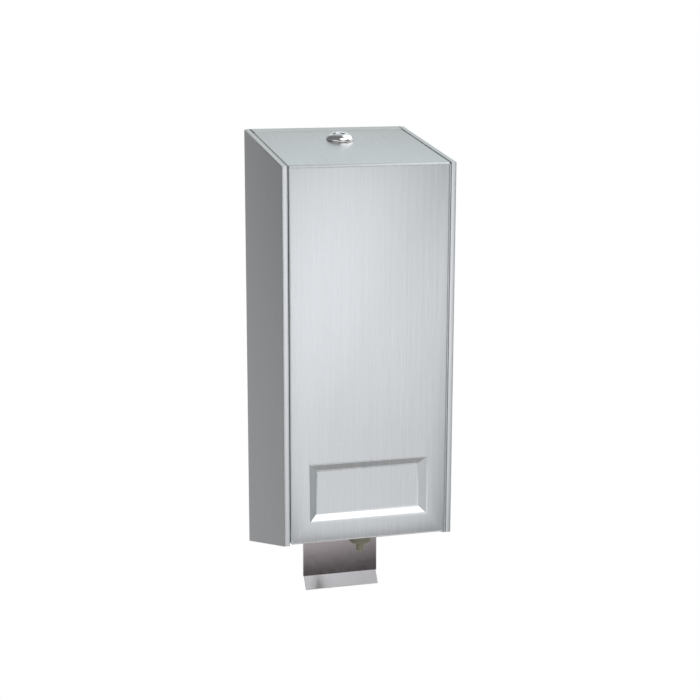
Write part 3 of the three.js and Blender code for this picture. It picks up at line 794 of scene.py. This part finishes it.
# Studio surround: soft lobes of light by direction, over a faint ambient.
# Each lobe: direction, cosine where it starts, cosine where it is full, strength, tint.
WHITE = (1.0, 1.0, 1.0)
COOL = (0.965, 0.99, 1.02)
TEAL = (0.85, 1.07, 1.08)
AMBIENT = (0.16, 0.163, 0.166)
LOBES = [
    ((-0.73, -0.65, -0.21), 0.7, 0.97, 0.55, COOL),
    ((0.14, 0.92, 0.34), 0.75, 0.97, 0.35, WHITE),
    ((0.26, 0.65, 0.7), 0.8, 0.97, 0.35, TEAL),
    ((0.0, -0.1, -1.0), 0.6, 0.97, 0.25, WHITE),
    ((0.93, -0.2, -0.2), 0.75, 0.97, 0.2, TEAL),
    ((-0.26, 0.85, -0.5), 0.8, 0.97, 0.3, WHITE),
    ((0.7, 0.1, 0.7), 0.82, 0.96, 1.85, WHITE),
    ((0.24, -0.75, -0.62), 0.9, 0.965, 1.3, WHITE),
    ((0.26, -0.62, 0.74), 0.89, 0.98, 2.3, WHITE),
    ((0.75, 0.45, -0.45), 0.6, 0.95, 0.5, WHITE),
]

# The light panel in front, with a black flag below it down to FLAG_LOW.
# Each of its soft spots: x, z, radius, strength, tint.
PANEL_Y = -0.47
PANEL_X = (-0.09, 0.32)
PANEL_Z = (-0.28, 0.17)
FLAG_LOW = -0.35
GLOWS = [
    (0.0, 0.01, 0.55, 1.43, COOL),
    (0.08, -0.27, 0.16, 0.6, COOL),
]


def make_camera():
    data = bpy.data.cameras.new("camera")
    data.lens = CAMERA_LENS
    data.sensor_width = 36
    data.clip_start = 0.01
    camera = bpy.data.objects.new("camera", data)
    camera.location = CAMERA_PLACE
    ahead = math.cos(CAMERA_PITCH)
    forward = Vector((math.sin(CAMERA_YAW) * ahead, math.cos(CAMERA_YAW) * ahead, -math.sin(CAMERA_PITCH)))
    roll = Quaternion((0, 0, 1), CAMERA_ROLL)
    camera.rotation_euler = (forward.to_track_quat("-Z", "Y") @ roll).to_euler()
    bpy.context.scene.collection.objects.link(camera)
    bpy.context.scene.camera = camera


def sum_of_spots(tree, measures, spots, start):
    """The sum of smooth spots of light, each given as (range from, range to, strength, colour)."""
    total = None
    for measure, (low, high, strength, colour) in zip(measures, spots):
        fade = tree.nodes.new("ShaderNodeMapRange")
        fade.interpolation_type = "SMOOTHSTEP"
        fade.inputs["From Min"].default_value = low
        fade.inputs["From Max"].default_value = high
        fade.inputs["To Max"].default_value = strength
        tree.links.new(measure, fade.inputs["Value"])
        tint = tree.nodes.new("ShaderNodeVectorMath")
        tint.operation = "SCALE"
        tint.inputs[0].default_value = colour
        tree.links.new(fade.outputs["Result"], tint.inputs["Scale"])
        add = tree.nodes.new("ShaderNodeVectorMath")
        add.operation = "ADD"
        tree.links.new(tint.outputs["Vector"], add.inputs[0])
        if total is None:
            add.inputs[1].default_value = start
        else:
            tree.links.new(total, add.inputs[1])
        total = add.outputs["Vector"]
    return total


def make_world():
    """Grey surround with soft lobes for light and reflections, and plain white for the backdrop."""
    world = bpy.data.worlds.new("studio")
    bpy.context.scene.world = world
    world.use_nodes = True
    tree = world.node_tree
    tree.nodes.clear()
    place = tree.nodes.new("ShaderNodeTexCoord")
    measures = []
    for direction, *_ in LOBES:
        dot = tree.nodes.new("ShaderNodeVectorMath")
        dot.operation = "DOT_PRODUCT"
        dot.inputs[1].default_value = Vector(direction).normalized()
        tree.links.new(place.outputs["Generated"], dot.inputs[0])
        measures.append(dot.outputs["Value"])
    light = tree.nodes.new("ShaderNodeBackground")
    spots = [lobe[1:] for lobe in LOBES]
    tree.links.new(sum_of_spots(tree, measures, spots, AMBIENT), light.inputs["Color"])
    backdrop = tree.nodes.new("ShaderNodeBackground")
    backdrop.inputs["Color"].default_value = (1, 1, 1, 1)
    ray = tree.nodes.new("ShaderNodeLightPath")
    pick = tree.nodes.new("ShaderNodeMixShader")
    tree.links.new(ray.outputs["Is Camera Ray"], pick.inputs["Fac"])
    tree.links.new(light.outputs["Background"], pick.inputs[1])
    tree.links.new(backdrop.outputs["Background"], pick.inputs[2])
    out = tree.nodes.new("ShaderNodeOutputWorld")
    tree.links.new(pick.outputs["Shader"], out.inputs["Surface"])


def emitter(name):
    """A material that only gives light, black until something feeds its colour; and that input."""
    mat = bpy.data.materials.new(name)
    mat.use_nodes = True
    tree = mat.node_tree
    tree.nodes.clear()
    glow = tree.nodes.new("ShaderNodeEmission")
    glow.inputs["Color"].default_value = (0, 0, 0, 1)
    out = tree.nodes.new("ShaderNodeOutputMaterial")
    tree.links.new(glow.outputs["Emission"], out.inputs["Surface"])
    return mat, glow.inputs["Color"]


def panel_glow():
    """The light panel's material, with a soft spot for each of GLOWS."""
    mat, colour_input = emitter("panel_glow")
    tree = mat.node_tree
    place = tree.nodes.new("ShaderNodeTexCoord")
    measures = []
    for x, z, *_ in GLOWS:
        size = tree.nodes.new("ShaderNodeVectorMath")
        size.operation = "DISTANCE"
        size.inputs[1].default_value = (x, PANEL_Y, z)
        tree.links.new(place.outputs["Object"], size.inputs[0])
        measures.append(size.outputs["Value"])
    spots = [(radius, 0.0, strength, colour) for _, _, radius, strength, colour in GLOWS]
    tree.links.new(sum_of_spots(tree, measures, spots, (0, 0, 0)), colour_input)
    return mat


def make_panel():
    """A soft light panel that the front mirrors, with a black flag under it; neither shows itself."""
    mesh = bpy.data.meshes.new("panel")
    corners = [(x, PANEL_Y, z) for z in (FLAG_LOW, *PANEL_Z) for x in PANEL_X]
    mesh.from_pydata(corners, [], [(2, 4, 5, 3), (0, 2, 3, 1)])
    mesh.materials.append(panel_glow())
    mesh.materials.append(emitter("panel_flag")[0])
    mesh.polygons[1].material_index = 1
    panel = bpy.data.objects.new("panel", mesh)
    bpy.context.scene.collection.objects.link(panel)
    panel.visible_camera = False
    panel.visible_shadow = False


make_cover()
for side in (-1, 1):
    make_side(side)
for row in frame["record"]["subparts"]:
    if row["node"] not in MADE_ABOVE:
        make_from_cad(row["node"], row["material_slot"])

make_camera()
make_world()
make_panel()
bpy.context.scene.view_settings.view_transform = "Standard"
